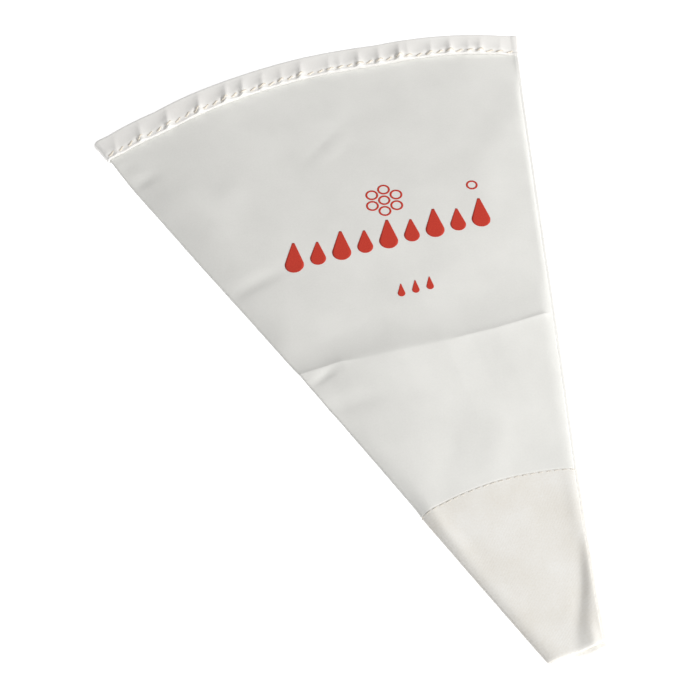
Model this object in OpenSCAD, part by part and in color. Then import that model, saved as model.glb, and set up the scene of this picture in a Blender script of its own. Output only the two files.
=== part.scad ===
// Piping bag lying flat, front up. Units are millimetres.
// Frame: +Y runs along the bag from tip to mouth, +X points to the side seam,
// +Z points up out of the front. The origin is on the supporting surface, half way along.
// The two side lines meet at a point below the tip (the apex); all radii start there.

/* [Bag] */
// Length from tip to the middle of the mouth
bag_l = 282; // [230:1:320]
// Angle of each side line to the middle line, degrees
half_a = 16.7; // [15:0.1:18]
// Distance from the apex to the tip edge
tip_d = 33.5; // [26:0.5:40]
// Radius of the curved mouth edge
mouth_r = 239.9; // [220:1:280]
// Thickness of one layer of cloth
cloth_t = 0.5; // [0.4:0.05:0.6]
// Height of the bag as it lies, underside to front
bag_h = 7.0; // [6.6:0.1:9]

/* [Mouth hem] */
// Width of the hem turned to the outside
hem_w = 10.4; // [7:0.1:13]
// Distance of the hem stitching from the hem's lower edge
hem_stitch_d = 2.2; // [1.5:0.1:4]

/* [Tip cuff] */
// Radius of the cuff's curved upper edge, from the apex
cuff_r = 101.8; // [85:0.5:115]
// Distance of the cuff stitching from its upper edge
cuff_stitch_d = 1.0; // [0.9:0.1:4]

/* [Side seam] */
// Width of the seam allowance standing out of the side
flange_w = 2.6; // [2:0.1:4]
// Radius of the bend from the front into the seam
seam_bend_r = 3.0; // [2.4:0.1:3.2]

/* [Crease] */
// Distance of the packing crease from the apex
crease_d = 164.5; // [130:0.5:190]
// Tilt of the crease to the width of the bag, degrees
crease_tilt = -3.7; // [-6:0.1:6]
// Gap between the two halves at the crease
crease_gap = 0.4; // [0.3:0.05:0.8]

/* [Stitches] */
// Length of one stitch
stitch_l = 3.0; // [2:0.1:4]
// Distance from one stitch to the next
stitch_p = 3.7; // [3:0.1:5]
// Height of the thread above the cloth
thread_h = 0.25; // [0.2:0.05:0.28]

/* [Print] */
// Distance of the printed row of drops from the apex
print_d = 213; // [200:1:225]
// Shift of the print towards the seam
print_x = 1.5; // [-4:0.5:4]
// Tilt of the print to the width of the bag, degrees
print_tilt = -2; // [-5:0.5:5]
// Thickness of the printed film
print_t = 0.12; // [0.08:0.01:0.2]

/* [Hidden] */
$fn = 96;
big = 700;
mouth_c = tip_d + bag_l - mouth_r;
hem_r = mouth_r - hem_w;
hem_t = 3 * cloth_t;
hem_z0 = 0.3;
hem_z1 = bag_h - cloth_t + hem_t;
hem_turn_r = (hem_z1 - hem_z0) / 2;
hem_turn_z = (hem_z1 + hem_z0) / 2;
fold_r = bag_h / 2;
seam_w = flange_w + seam_bend_r;
base_y = -(tip_d + bag_l / 2);
step_w = 1.0;
// Where the crease meets the seam line, measured along that line.
seam_crease_d = crease_d * cos(crease_tilt) / cos(half_a + crease_tilt);
corner_a = asin(sin(half_a) * mouth_c / mouth_r) + half_a;

cloth_c = [0.90, 0.90, 0.89];
hem_c = [0.92, 0.915, 0.90];
cuff_c = [0.93, 0.92, 0.895];
thread_c = [0.80, 0.72, 0.60];
print_c = [0.76, 0.14, 0.09];

// Everything below is drawn with the apex at zero, then moved to the frame.
module placed() {
    translate([0, base_y, 0])
    children();
}

// A wedge of the plane between the two side lines, drawn in from each of them.
module wedge(in_left, in_right, z0, z1) {
    intersection() {
        translate([0, 0, z0])
        rotate([0, 0, half_a])
        translate([in_left, 0, 0])
        cube([big, big, z1 - z0]);
        translate([0, 0, z0])
        rotate([0, 0, -half_a])
        translate([-in_right - big, 0, 0])
        cube([big, big, z1 - z0]);
    }
}

module beyond(y) {
    translate([-big / 2, y, -20])
    cube([big, big, 60]);
}

// The half of space on the mouth's side of the crease, g from its middle.
module beyond_crease(g) {
    translate([0, crease_d, 0])
    rotate([0, 0, crease_tilt])
    translate([-big / 2, g, -20])
    cube([big, big, 60]);
}

module disc(y, r) {
    translate([0, y, -20])
    cylinder(h = 60, r = r, $fn = 240);
}

// Keeps what lies between the crease and the hem.
module keep_upper() {
    intersection() {
        children();
        beyond_crease(crease_gap / 2);
        disc(mouth_c, hem_r);
    }
}

// Keeps the band of the hem.
module keep_hem() {
    difference() {
        intersection() {
            children();
            beyond(crease_d);
            disc(mouth_c, mouth_r);
        }
        disc(mouth_c, hem_r);
    }
}

// Keeps what lies between the cuff's upper edge and the crease.
module keep_middle() {
    difference() {
        intersection() {
            children();
            beyond(tip_d);
        }
        beyond_crease(-crease_gap / 2);
        disc(0, cuff_r);
    }
}

// Keeps what lies between the tip and the given radius.
module keep_tip(r) {
    intersection() {
        children();
        beyond(tip_d);
        disc(0, r);
    }
}

// A profile run along the left side line: x is the way in, y is the height.
module along_left() {
    rotate([0, 0, half_a])
    rotate([90, 0, 0])
    translate([0, 0, -big])
    linear_extrude(height = big)
    children();
}

// The same along the right side line.
module along_right() {
    rotate([0, 0, -half_a])
    rotate([90, 0, 0])
    translate([0, 0, -big])
    linear_extrude(height = big)
    mirror([1, 0])
    children();
}

// Half ring, open towards the inside of the bag.
module turn_profile(r_out, t, z) {
    translate([r_out, z])
    difference() {
        circle(r = r_out);
        circle(r = r_out - t);
        translate([0, -r_out - 1])
        square([r_out + 1, 2 * r_out + 2]);
    }
}

// Quarter ring from the front down to the wall of the seam.
module bend_profile(r_out, t, x, z) {
    translate([x, z])
    difference() {
        circle(r = r_out);
        circle(r = r_out - t);
        translate([0, -r_out - 1])
        square([r_out + 1, 2 * r_out + 2]);
        translate([-r_out - 1, -r_out - 1])
        square([r_out + 2, r_out + 1]);
    }
}

// Seam allowance, side wall and bend between the heights z0 and z1.
module seam_profile(z0, z1, t) {
    translate([0, z0])
    square([seam_w, t]);
    translate([0, z0])
    square([flange_w + t, 2 * t]);
    translate([flange_w, z0])
    square([t, z1 - seam_bend_r - z0]);
    bend_profile(seam_bend_r, t, seam_w, z1 - seam_bend_r);
}

// One stitch lying along y on the height z.
module stitch(z, up) {
    translate([0, stitch_l / 2, z])
    rotate([90, 0, 0])
    linear_extrude(height = stitch_l)
    intersection() {
        circle(r = thread_h, $fn = 24);
        translate([-1, up > 0 ? 0 : -1])
        square([2, 1]);
    }
}

// Stitches round a circle with its centre at y.
module stitch_arc(y, r, a0, a1, z, up) {
    n = floor((a1 - a0) * PI / 180 * r / stitch_p);
    da = (a1 - a0) / n;
    for (i = [0 : n - 1])
    translate([0, y, 0])
    rotate([0, 0, a0 + (i + 0.5) * da])
    translate([0, r, 0])
    rotate([0, 0, 90])
    stitch(z, up);
}

// Stitches along the seam allowance between two distances from the apex.
module stitch_seam(s0, s1, z) {
    n = floor((s1 - s0) / stitch_p);
    ds = (s1 - s0) / n;
    for (i = [0 : n - 1])
    rotate([0, 0, -half_a])
    translate([-flange_w / 2, s0 + (i + 0.5) * ds, 0])
    stitch(z, 1);
}

// ---- upper half: crease to mouth -------------------------------------------

module front_cloth_upper() {
    color(cloth_c)
    placed()
    keep_upper()
    wedge(fold_r, seam_w, bag_h - cloth_t, bag_h);
}

module back_cloth_upper() {
    color(cloth_c)
    placed()
    keep_upper()
    wedge(fold_r, seam_w, 0, cloth_t);
}

module fold_edge_upper() {
    color(cloth_c)
    placed()
    keep_upper()
    along_left()
    turn_profile(fold_r, cloth_t, fold_r);
}

module side_seam_upper() {
    color(cloth_c)
    placed()
    keep_upper()
    along_right()
    seam_profile(0, bag_h, cloth_t);
}

module side_seam_thread_upper() {
    s0 = seam_crease_d + 2;
    s1 = tip_d + bag_l - hem_w - 8;
    color(thread_c)
    placed()
    stitch_seam(s0, s1, 2 * cloth_t);
}

module front_hem() {
    color(hem_c)
    placed()
    keep_hem()
    wedge(hem_turn_r, seam_w, hem_z1 - hem_t, hem_z1);
}

module back_hem() {
    color(hem_c)
    placed()
    keep_hem()
    wedge(hem_turn_r, seam_w, hem_z0, hem_z0 + hem_t);
}

module hem_fold_turn() {
    color(hem_c)
    placed()
    keep_hem()
    along_left()
    turn_profile(hem_turn_r, hem_t, hem_turn_z);
}

module hem_seam_end() {
    color(hem_c)
    placed()
    keep_hem()
    along_right()
    hem_end_profile();
}

// The hem's layers closed into the seam at the right corner.
module hem_end_profile() {
    w = seam_w;
    t = hem_t;
    translate([0, hem_z0])
    square([w, t]);
    translate([0, hem_z0])
    square([flange_w + t, 2 * t]);
    translate([flange_w, hem_z0])
    square([t, hem_z1 - seam_bend_r - hem_z0]);
    bend_profile(seam_bend_r, t, w, hem_z1 - seam_bend_r);
}

module front_hem_thread() {
    color(thread_c)
    placed()
    stitch_arc(mouth_c, hem_r + hem_stitch_d, -corner_a + 1.8, corner_a - 1.4, hem_z1, 1);
}

module back_hem_thread() {
    color(thread_c)
    placed()
    stitch_arc(mouth_c, hem_r + hem_stitch_d, -corner_a + 1.8, corner_a - 1.4, hem_z0, -1);
}

// A piped drop: a round end run out to a small tip.
module drop(l, r) {
    linear_extrude(height = print_t)
    union() {
        circle(r = r);
        polygon([[-r * 0.94, r * 0.34], [r * 0.94, r * 0.34], [r * 0.12, l], [-r * 0.12, l]]);
    }
}

module ring(r, w) {
    linear_extrude(height = print_t)
    difference() {
        circle(r = r);
        circle(r = r - w);
    }
}

module print_place() {
    translate([print_x, print_d, bag_h])
    rotate([0, 0, print_tilt])
    children();
}

// A leaning row of piped drops, large and small in turn.
module front_ornament() {
    color(print_c)
    placed()
    print_place() {
        for (i = [-4 : 4])
        translate([i * 9.3, 0, 0])
        rotate([0, 0, -14])
        drop(i % 2 == 0 ? 10.2 : 7.8, i % 2 == 0 ? 3.6 : 3.0);
    }
}

// A rosette of seven rings above the row, and one small ring at its end.
module front_rosette() {
    color(print_c)
    placed()
    print_place() {
        translate([4.6, 19.5, 0])
        ring(2.4, 0.8);
        for (i = [0 : 5])
        translate([4.6, 19.5, 0])
        rotate([0, 0, i * 60 + 15])
        translate([5.4, 0, 0])
        ring(2.5, 0.8);
        translate([39.5, 17, 0])
        ring(2.3, 0.8);
    }
}

module front_size_drops() {
    color(print_c)
    placed()
    print_place()
    for (i = [-1 : 1])
    translate([2.5 + i * 5.6, -24.8, 0])
    rotate([0, 0, -14])
    drop(4.4, 1.4);
}

// ---- lower half: crease to tip ---------------------------------------------

// Under the cuff the cloth steps inwards by its own thickness.
module front_cloth_lower() {
    color(cloth_c)
    placed() {
        keep_middle()
        wedge(fold_r, seam_w, bag_h - cloth_t, bag_h);
        keep_tip(cuff_r + step_w)
        wedge(fold_r, seam_w, bag_h - 2 * cloth_t, bag_h - cloth_t);
    }
}

module back_cloth_lower() {
    color(cloth_c)
    placed() {
        keep_middle()
        wedge(fold_r, seam_w, 0, cloth_t);
        keep_tip(cuff_r + step_w)
        wedge(fold_r, seam_w, cloth_t, 2 * cloth_t);
    }
}

module fold_edge_lower() {
    color(cloth_c)
    placed() {
        keep_middle()
        along_left()
        turn_profile(fold_r, cloth_t, fold_r);
        keep_tip(cuff_r + step_w)
        along_left()
        inner_turn_profile(cloth_t);
        keep_step_band()
        along_left()
        inner_turn_profile(1.5 * cloth_t);
    }
}

// Keeps the short band in which the inner and outer layers meet at the step.
module keep_step_band() {
    difference() {
        intersection() {
            children();
            disc(0, cuff_r + step_w);
        }
        disc(0, cuff_r);
    }
}

// Half ring inside the cuff, t thick.
module inner_turn_profile(t) {
    translate([fold_r, fold_r])
    difference() {
        circle(r = fold_r - 2 * cloth_t + t);
        circle(r = fold_r - 2 * cloth_t);
        translate([0, -fold_r - 1])
        square([fold_r + 1, 2 * fold_r + 2]);
    }
}

module side_seam_lower() {
    color(cloth_c)
    placed() {
        keep_middle()
        along_right()
        seam_profile(0, bag_h, cloth_t);
        keep_tip(cuff_r + step_w)
        along_right()
        inner_seam_profile();
    }
}

// Cloth of the seam inside the cuff: a wall and two short feet.
module inner_seam_profile() {
    t = cloth_t;
    r = seam_bend_r;
    translate([flange_w + t, t])
    square([r - t, t]);
    translate([flange_w + t, t])
    square([t, bag_h - r - t]);
    bend_profile(r - t, t, seam_w, bag_h - r);
}

module side_seam_thread_lower() {
    s0 = tip_d / cos(half_a) + 3;
    s1 = seam_crease_d - 2;
    color(thread_c)
    placed()
    stitch_seam(s0, s1, 2 * cloth_t);
}

module tip_cuff_front() {
    color(cuff_c)
    placed()
    keep_tip(cuff_r)
    wedge(fold_r, seam_w, bag_h - cloth_t, bag_h);
}

// The stitching sinks into a groove here, so that the cuff lies flat.
module tip_cuff_back() {
    color(cuff_c)
    placed()
    difference() {
        keep_tip(cuff_r)
        wedge(fold_r, seam_w, 0, cloth_t);
        stitch_groove();
    }
}

module stitch_groove() {
    r = cuff_r - cuff_stitch_d;
    difference() {
        translate([0, 0, -1])
        cylinder(h = 1 + thread_h, r = r + 2 * thread_h, $fn = 240);
        translate([0, 0, -2])
        cylinder(h = 3, r = r - 2 * thread_h, $fn = 240);
    }
}

module tip_cuff_fold() {
    color(cuff_c)
    placed()
    keep_tip(cuff_r)
    along_left()
    turn_profile(fold_r, cloth_t, fold_r);
}

module tip_cuff_seam() {
    color(cuff_c)
    placed()
    keep_tip(cuff_r)
    along_right()
    seam_profile(0, bag_h, cloth_t);
}

module cuff_thread_front() {
    color(thread_c)
    placed()
    stitch_arc(0, cuff_r - cuff_stitch_d, -half_a + 3.4, half_a - 2.4, bag_h, 1);
}

module cuff_thread_back() {
    color(thread_c)
    placed()
    stitch_arc(0, cuff_r - cuff_stitch_d, -half_a + 3.4, half_a - 2.4, 0, 1);
}

front_cloth_upper();
back_cloth_upper();
fold_edge_upper();
side_seam_upper();
side_seam_thread_upper();
front_hem();
back_hem();
hem_fold_turn();
hem_seam_end();
front_hem_thread();
back_hem_thread();
front_ornament();
front_rosette();
front_size_drops();
front_cloth_lower();
back_cloth_lower();
fold_edge_lower();
side_seam_lower();
side_seam_thread_lower();
tip_cuff_front();
tip_cuff_back();
tip_cuff_fold();
tip_cuff_seam();
cuff_thread_front();
cuff_thread_back();
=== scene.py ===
"""Looks of the piping bag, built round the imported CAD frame.

Sizes are in millimetres, and x and y start at the apex, the point below the tip where the bag's
two side lines meet; to_frame moves points to the frame. rho is the distance from the apex, and
theta the angle from the bag's middle line, positive towards the seam. dl and dr are the distances
from the folded edge on the left and from the seam's edge on the right.
"""

import math
import random

import bpy
import numpy as np
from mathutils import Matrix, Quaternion, Vector


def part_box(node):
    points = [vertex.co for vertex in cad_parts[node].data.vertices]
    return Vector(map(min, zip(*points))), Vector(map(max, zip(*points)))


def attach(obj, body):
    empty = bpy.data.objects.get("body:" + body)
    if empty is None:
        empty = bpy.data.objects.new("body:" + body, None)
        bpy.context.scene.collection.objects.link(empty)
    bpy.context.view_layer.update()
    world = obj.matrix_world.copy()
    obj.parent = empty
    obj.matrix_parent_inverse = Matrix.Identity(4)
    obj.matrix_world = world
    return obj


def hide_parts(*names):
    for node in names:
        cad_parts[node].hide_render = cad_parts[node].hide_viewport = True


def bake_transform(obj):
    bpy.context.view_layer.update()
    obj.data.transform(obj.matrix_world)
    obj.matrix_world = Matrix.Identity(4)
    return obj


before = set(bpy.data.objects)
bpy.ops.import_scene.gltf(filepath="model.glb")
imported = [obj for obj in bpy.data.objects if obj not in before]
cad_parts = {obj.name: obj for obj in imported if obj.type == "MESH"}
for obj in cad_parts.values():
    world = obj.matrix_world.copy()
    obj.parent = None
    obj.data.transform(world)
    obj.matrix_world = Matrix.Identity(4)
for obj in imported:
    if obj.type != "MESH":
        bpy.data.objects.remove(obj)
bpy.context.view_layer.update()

MM = 0.001

# ---- the cut of the bag, as in the CAD ----
HALF = math.radians(16.7)  # from the middle line to either side line
TIP_D = 33.5  # the tip's straight cut
CUFF_R = 101.8  # the cuff's upper edge
CREASE_D = 164.5  # the packing crease, on the middle line
CREASE_TILT = math.radians(-3.7)
MOUTH_R = 239.9  # the mouth's arc, whose centre is MOUTH_C above the apex
MOUTH_C = 75.6
HEM_W = 10.4
CLOTH_T = 0.5
APEX_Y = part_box("front_hem")[1].y / MM - MOUTH_C - MOUTH_R

# ---- sizes that only the lying bag has ----
SEAM_EDGE = 1.0  # width of the seam allowance that shows
HEM_STITCH = 1.35  # from the hem's lower edge to its stitches
CUFF_STITCH = 0.7  # from the cuff's upper edge to its stitches
TURN_R = 0.88  # how far below the mouth's edge the cloth turns over into the hem
PRINT_D, PRINT_X, PRINT_TILT = 212.0, 1.15, math.radians(-2.0)  # the print's middle and its turn

UPPER_NODES = ["front_cloth_upper", "back_cloth_upper", "fold_edge_upper", "side_seam_upper"]
LOWER_NODES = ["front_cloth_lower", "back_cloth_lower", "fold_edge_lower", "side_seam_lower"]
HEM_NODES = ["front_hem", "back_hem", "hem_fold_turn", "hem_seam_end"]
CUFF_NODES = ["tip_cuff_front", "tip_cuff_back", "tip_cuff_fold", "tip_cuff_seam"]


# ---- small maths ----
def ramp(x, a, b):
    """0 at a and 1 at b, level at both."""
    t = np.clip((x - a) / (b - a), 0.0, 1.0)
    return t * t * (3 - 2 * t)


def dome(t):
    """0 at 0 and 1 at 1, along a parabola that ends level."""
    return 1 - (1 - np.clip(t, 0, 1)) ** 2


def bell(d, width):
    return np.exp(-((d / width) ** 2))


def along(x, pairs):
    """The value at x of straight lines through (place, value) pairs."""
    return np.interp(x, *zip(*pairs))


def knots(*pairs, soft=8.0):
    """A curve through (distance from the apex, value) pairs, rounded, and level past its ends."""
    reach, end = 24, 360.0
    grid = np.arange(0.0, end, 1.0)
    kernel = np.exp(-0.5 * (np.arange(-reach, reach + 1) / soft) ** 2)
    padded = np.pad(along(grid, pairs), reach, mode="edge")
    table = np.convolve(padded, kernel / kernel.sum(), mode="valid")
    return lambda rho: np.interp(rho, grid, table)


def turned(x, y, cx, cy, turn):
    """Coordinates about (cx, cy), the first of them along turn degrees from +X."""
    c, s = math.cos(math.radians(turn)), math.sin(math.radians(turn))
    return (x - cx) * c + (y - cy) * s, -(x - cx) * s + (y - cy) * c


def hill(x, y, cx, cy, length, width, turn):
    """A soft hill at (cx, cy)."""
    u, v = turned(x, y, cx, cy, turn)
    return np.exp(-((u / length) ** 2) - (v / width) ** 2)


def ridge(x, y, cx, cy, length, width, turn):
    """A sharp crest at (cx, cy) that fades out along its length."""
    blunt = 0.09
    u, v = turned(x, y, cx, cy, turn)
    return bell(u, length) * np.exp(-np.sqrt(v * v + blunt) / width)


def lengths(points):
    """Distance along a line of points, from its first point to each."""
    return np.concatenate([[0], np.cumsum(np.linalg.norm(np.diff(points, axis=0), axis=1))])


# ---- the shape the bag lies in ----
# how far the folded edge and the seam's edge lie in from the straight cut
left_in = knots(
    (30, 0.5), (60, 0.3), (101, 0.15), (104, 0.65), (125, 0.6), (150, 0.5), (172, 0.3), (190, 0.3),
    (206, 0.4), (240, -0.27), (275, -0.6), (292, -0.9), (302, -0.6), (313, 0.1), (320, 0.3), soft=2.5,
)
right_in = knots(
    (30, -1.2), (34, -1.1), (40, -0.7), (57, -0.2), (69, -0.1), (90, 0.05), (100, 0.25), (160, 0.2),
    (220, 0.38), (300, 0.5), soft=2.5,
)
# how far the mouth lies out from its arc, by theta in degrees
MOUTH_OUT = (
    (-16.7, 1.9), (-15.8, 0.5), (-14.6, -0.3), (-12, -2.4), (-6, -2.95), (0, -3.15), (5.5, -4.2),
    (12, -1.95), (16.7, -0.6),
)
# how far the hem's thickness lifts the mouth's end of the bag, and the distances below the mouth
# in which that lift grows
MOUTH_LIFT, MOUTH_FADE = 1.62, (36.0, 12.0)

# the front's height: over the middle, beside the seam, and the distance from each side in which
# it gets there
crown_h = knots(
    (30, 3.0), (45, 2.5), (85, 2.55), (104, 3.0), (125, 3.9), (164, 4.9), (220, 6.4), (270, 6.6),
    (288, 6.9), (303, 7.6), (320, 7.8),
)
seam_h = knots((30, 3.0), (60, 2.9), (92, 3.1), (112, 3.4), (164, 4.0), (240, 4.8), (320, 4.7))
left_w = knots((30, 7), (60, 9), (90, 14), (115, 30), (164, 40), (240, 48))
right_w = knots((30, 5), (60, 9), (100, 18), (164, 34), (240, 50))

# the folded edge: its radius, the width in which it rolls over, and how far it may dent
FOLD_R, FOLD_W, DIP = 0.58, 0.5, 0.12
# height of the back over the table at the fold and inside it, and the width between the two
REST_Z, BACK_Z, BACK_BLEND = 0.18, 0.34, 6.0
# the front's slope up from the folded edge: height and width
slope_h = knots(
    (30, 0.5), (44, 0.6), (80, 0.6), (94, 1.3), (108, 1.25), (125, 1.0), (140, 0.3), (150, 0.05),
    (185, 0.05), (198, 1.5), (215, 2.0), (270, 2.1), (283, 1.3), (294, 0.2), (320, 0.1), soft=3.0,
)
slope_w = knots(
    (30, 2.7), (80, 2.7), (96, 3.9), (108, 7.0), (125, 5.0), (150, 4.0), (185, 4.0), (200, 14.0),
    (270, 16.0), (292, 10.0), (320, 8.0), soft=3.0,
)
# a low ridge just inside the folded edge: height, place and width, and its share at the edge
rim_ridge = knots(
    (30, 0.3), (50, 0.25), (76, 0.3), (84, 0.6), (98, 0.8), (112, 0.3), (120, 0), soft=3.0
)
RIM_IN, RIM_W, RIM_AT_EDGE = 3.0, 3.0, 0.37
# how far the folded edge stands off the table near the crease
side_lift = knots((108, 0), (122, 0.45), (142, 0.7), (188, 0.8), (204, 0), soft=3.0)

# the seam allowance: its height at the outer edge, its rise inwards, and the step and the wall
# from it up to the front
flange_top = knots(
    (30, 2.4), (98, 2.4), (108, 2.3), (125, 2.6), (164, 3.1), (200, 3.1), (240, 3.3), (320, 3.2), soft=3.0
)
FLANGE_RISE = 0.28
SEAM_STEP, STEP_W = 0.16, 0.1
WALL_W = 1.9
# a low ridge beside the seam above the cuff: height, place and width
seam_ridge = knots((72, 0), (82, 0.25), (94, 0.25), (103, 0), soft=4.0)
SEAM_RIDGE_IN, SEAM_RIDGE_W = 3.2, 1.9
# the seam's side pinched up by the tip: height, and how far in from the seam's edge its crest and
# the foot of its slope lie
pinch_h = knots(
    (30, 0.5), (37, 0.85), (42, 1.15), (48, 1.1), (60, 0.95), (65, 0.65), (71, 0.32), (79, 0), soft=2.5
)
pinch_top = knots((37, 3.0), (42, 2.9), (48, 2.6), (54, 1.9), (60, 1.4), (71, 0.8), soft=3.0)
pinch_low = knots((37, 10.0), (42, 8.8), (48, 7.2), (54, 5.4), (60, 4.8), (71, 3.8), soft=3.0)
# shares of the pinch's height: the crest's fall to the seam, and the depth of the valley by its
# foot, with the valley's place and width
CREST_FALL = 0.1
VALLEY, VALLEY_IN, VALLEY_W = 0.1, 0.6, 2.0

# the packing crease, by x: how far it bows off its straight line, the height of its swell, the
# height of the sharp crest on it, the swell's roundness, and how far its upper side reaches
CREASE_BOW = (
    (-60, -1.1), (-34, -1.3), (-26, -2.5), (-16, -2.9), (-6, -3.1), (4, -3.3), (14, -2.6), (24, -2.35),
    (34, -1.2), (42, -0.2), (60, 0.7),
)
CREASE_SWELL = (
    (-50, 0.8), (-40, 1.25), (-34, 1.9), (-12, 2.5), (4, 2.3), (14, 1.6), (24, 1.4), (34, 0.9), (42, 0.5),
)
CREASE_CREST = (
    (-50, 0.4), (-40, 0.45), (-34, 0.35), (-26, 0.05), (4, 0.05), (12, 0.3), (28, 0.35), (34, 0.4),
    (42, 0.6),
)
CREASE_ROUND = ((-40, 0.4), (-34, 0.6), (-26, 1.8), (4, 1.4), (12, 0.5), (50, 0.4))
CREASE_REACH = ((-40, 11), (-30, 14), (-12, 18))
# length over which its lower side falls off, and widths of the crest's upper and lower sides
CREASE_FALL = 34.0
CREST_UP_W, CREST_DOWN_W, CREST_BLUNT = 1.0, 2.4, 0.02

# dents of the front: middle, half length, half width, direction in degrees, height
DENTS = (
    (-77.5, 274.4, 5.0, 2.4, 6, -0.65),
    (7.8, 33.0, 5.2, 9.0, 0, 0.9),
    (-24.0, 107.0, 10.0, 4.5, -73, 0.35),
    (-82.0, 283.0, 3.0, 1.3, 10, -0.30),
    (-52.0, 211.0, 12.0, 3.0, 7, -0.60),
    (-41.5, 162.6, 5.0, 1.7, 18, -0.60),
    (-36.0, 148.6, 11.0, 3.6, -8, -0.50),
    (-60.0, 245.0, 18.0, 7.0, -74, 0.60),
    (-69.0, 259.0, 7.0, 6.0, 0, 0.25),
    (-48.0, 255.0, 9.0, 6.0, 60, 0.35),
    (0.5, 279.0, 9.0, 6.0, 20, 0.22),
    (-3.0, 263.6, 11.0, 3.0, 34, 0.22),
    (58.0, 246.0, 20.0, 7.5, 42, 0.50),
    (44.0, 222.0, 12.0, 6.0, 80, 0.30),
    (48.0, 169.0, 9.0, 7.0, 60, 0.40),
    (5.5, 115.0, 15.0, 5.0, 62, 0.28),
    (-8.5, 121.0, 15.0, 5.0, 62, -0.22),
    (26.0, 149.0, 14.0, 6.0, 80, 0.28),
    (-20.0, 128.0, 16.0, 7.0, 70, 0.20),
    (10.0, 190.0, 26.0, 9.0, 20, 0.18),
    (-30.0, 190.0, 18.0, 8.0, -50, 0.18),
)
# sharp creases of the front, given in the same way
NICKS = (
    (-78.0, 273.4, 3.6, 0.8, 8, -0.26),
    (-55.0, 209.6, 6.0, 0.8, 10, -0.16),
    (-6.5, 267.0, 11.5, 0.5, 34, -0.42),
    (-0.3, 259.6, 4.5, 0.5, 33, -0.18),
    (-43.0, 161.6, 3.5, 0.7, 18, -0.15),
)
# faint waves of the whole front: the steps in x and in y for one radian, and the start in radians
WAVES = ((13.0, 29.0, 0.0), (21.0, -17.0, 1.1))
WAVE_H = 0.06
# width beside the fold and beside the seam in which dents and relief fade in
DENT_FADE, RELIEF_FADE = 2.5, 4.0


def sides(rho):
    """The directions of the folded edge and of the seam's edge at this distance."""
    return -HALF + left_in(rho) / rho, HALF - right_in(rho) / rho


def to_sides(rho, theta):
    """Distances from the folded edge and from the seam's edge."""
    west, east = sides(rho)
    return rho * (theta - west), rho * (east - theta)


def crease_offset(x, y):
    """Signed distance from the crease's straight line, positive towards the mouth."""
    return -x * math.sin(CREASE_TILT) + (y - CREASE_D) * math.cos(CREASE_TILT)


def crease_fold(x, y):
    """The crest that the packing crease leaves: soft in the middle, sharp at both ends."""
    c = crease_offset(x, y) - along(x, CREASE_BOW)
    soft = along(x, CREASE_ROUND)
    d = np.sqrt(c * c + soft * soft) - soft
    upper_side = np.clip(1 - d / along(x, CREASE_REACH), 0, 1) ** 2
    lower_side = np.exp(-d / CREASE_FALL)
    swell = along(x, CREASE_SWELL) * np.where(c > 0, upper_side, lower_side)
    crest = np.exp(-np.sqrt(c * c + CREST_BLUNT) / np.where(c > 0, CREST_UP_W, CREST_DOWN_W))
    return swell + along(x, CREASE_CREST) * crest


def front_relief(x, y):
    """Dents, kinks and waves of the front cloth."""
    z = crease_fold(x, y)
    for cx, cy, length, width, turn, height in DENTS:
        z = z + height * hill(x, y, cx, cy, length, width, turn)
    for cx, cy, length, width, turn, height in NICKS:
        z = z + height * ridge(x, y, cx, cy, length, width, turn)
    for x_step, y_step, start in WAVES:
        z = z + WAVE_H * np.sin(x / x_step + y / y_step + start)
    return z


def fold_lift(x, y, rho):
    """How far the folded edge stands up from its rest."""
    return np.maximum(front_relief(x, y), -DIP) + RIM_AT_EDGE * rim_ridge(rho) + side_lift(rho)


def near_mouth(x, y, rho):
    """1 under the hem, fading to 0 some way below it."""
    return ramp(ray_mouth(np.arctan2(x, y)) - rho, *MOUTH_FADE)


def pinch(rho, dr):
    """The seam's side pinched up near the tip, with a shallow valley at the foot of its slope."""
    top, low = pinch_top(rho), pinch_low(rho)
    crest = ramp(dr, low, top) * (1 - CREST_FALL * np.clip(1 - dr / top, 0, 1) ** 2)
    return pinch_h(rho) * (crest - VALLEY * bell(dr - low - VALLEY_IN, VALLEY_W))


def flange_z(x, y, rho, dr):
    """Height of the seam allowance's upper face."""
    rise = FLANGE_RISE * np.clip(dr / SEAM_EDGE, 0, 1)
    return flange_top(rho) + rise + MOUTH_LIFT * near_mouth(x, y, rho)


def fold_arc(dl):
    """0 at the fold and 1 past it, along a quarter of a circle."""
    return np.sqrt(np.maximum(1 - (1 - np.clip(dl / FOLD_W, 0, 1)) ** 2, 0))


def front_z(x, y, rho, dl, dr):
    """Height of the front's outer face."""
    beside, slope = seam_h(rho), slope_h(rho)
    edge = 2 * FOLD_R + REST_Z + slope + side_lift(rho) + MOUTH_LIFT * near_mouth(x, y, rho)
    roll = FOLD_R * (fold_arc(dl) - 1) - slope * (1 - np.clip(dl / slope_w(rho), 0, 1)) ** 2
    inner = beside + (crown_h(rho) - beside) * dome((dr - SEAM_EDGE) / right_w(rho))
    z = edge + roll + (inner - edge) * dome(dl / left_w(rho))
    relief = front_relief(x, y)
    relief = np.where(relief < -DIP, -DIP + (relief + DIP) * ramp(dl, 0.0, DENT_FADE), relief)
    z = z + relief * ramp(dr, SEAM_EDGE, SEAM_EDGE + RELIEF_FADE)
    z = z + rim_ridge(rho) * bell(dl - RIM_IN, RIM_W)
    z = z + seam_ridge(rho) * bell(dr - SEAM_RIDGE_IN, SEAM_RIDGE_W)
    foot = flange_z(x, y, rho, dr) + SEAM_STEP * ramp(dr, SEAM_EDGE, SEAM_EDGE + STEP_W)
    return foot + (z - foot) * dome((dr - SEAM_EDGE) / WALL_W) + pinch(rho, dr)


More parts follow.
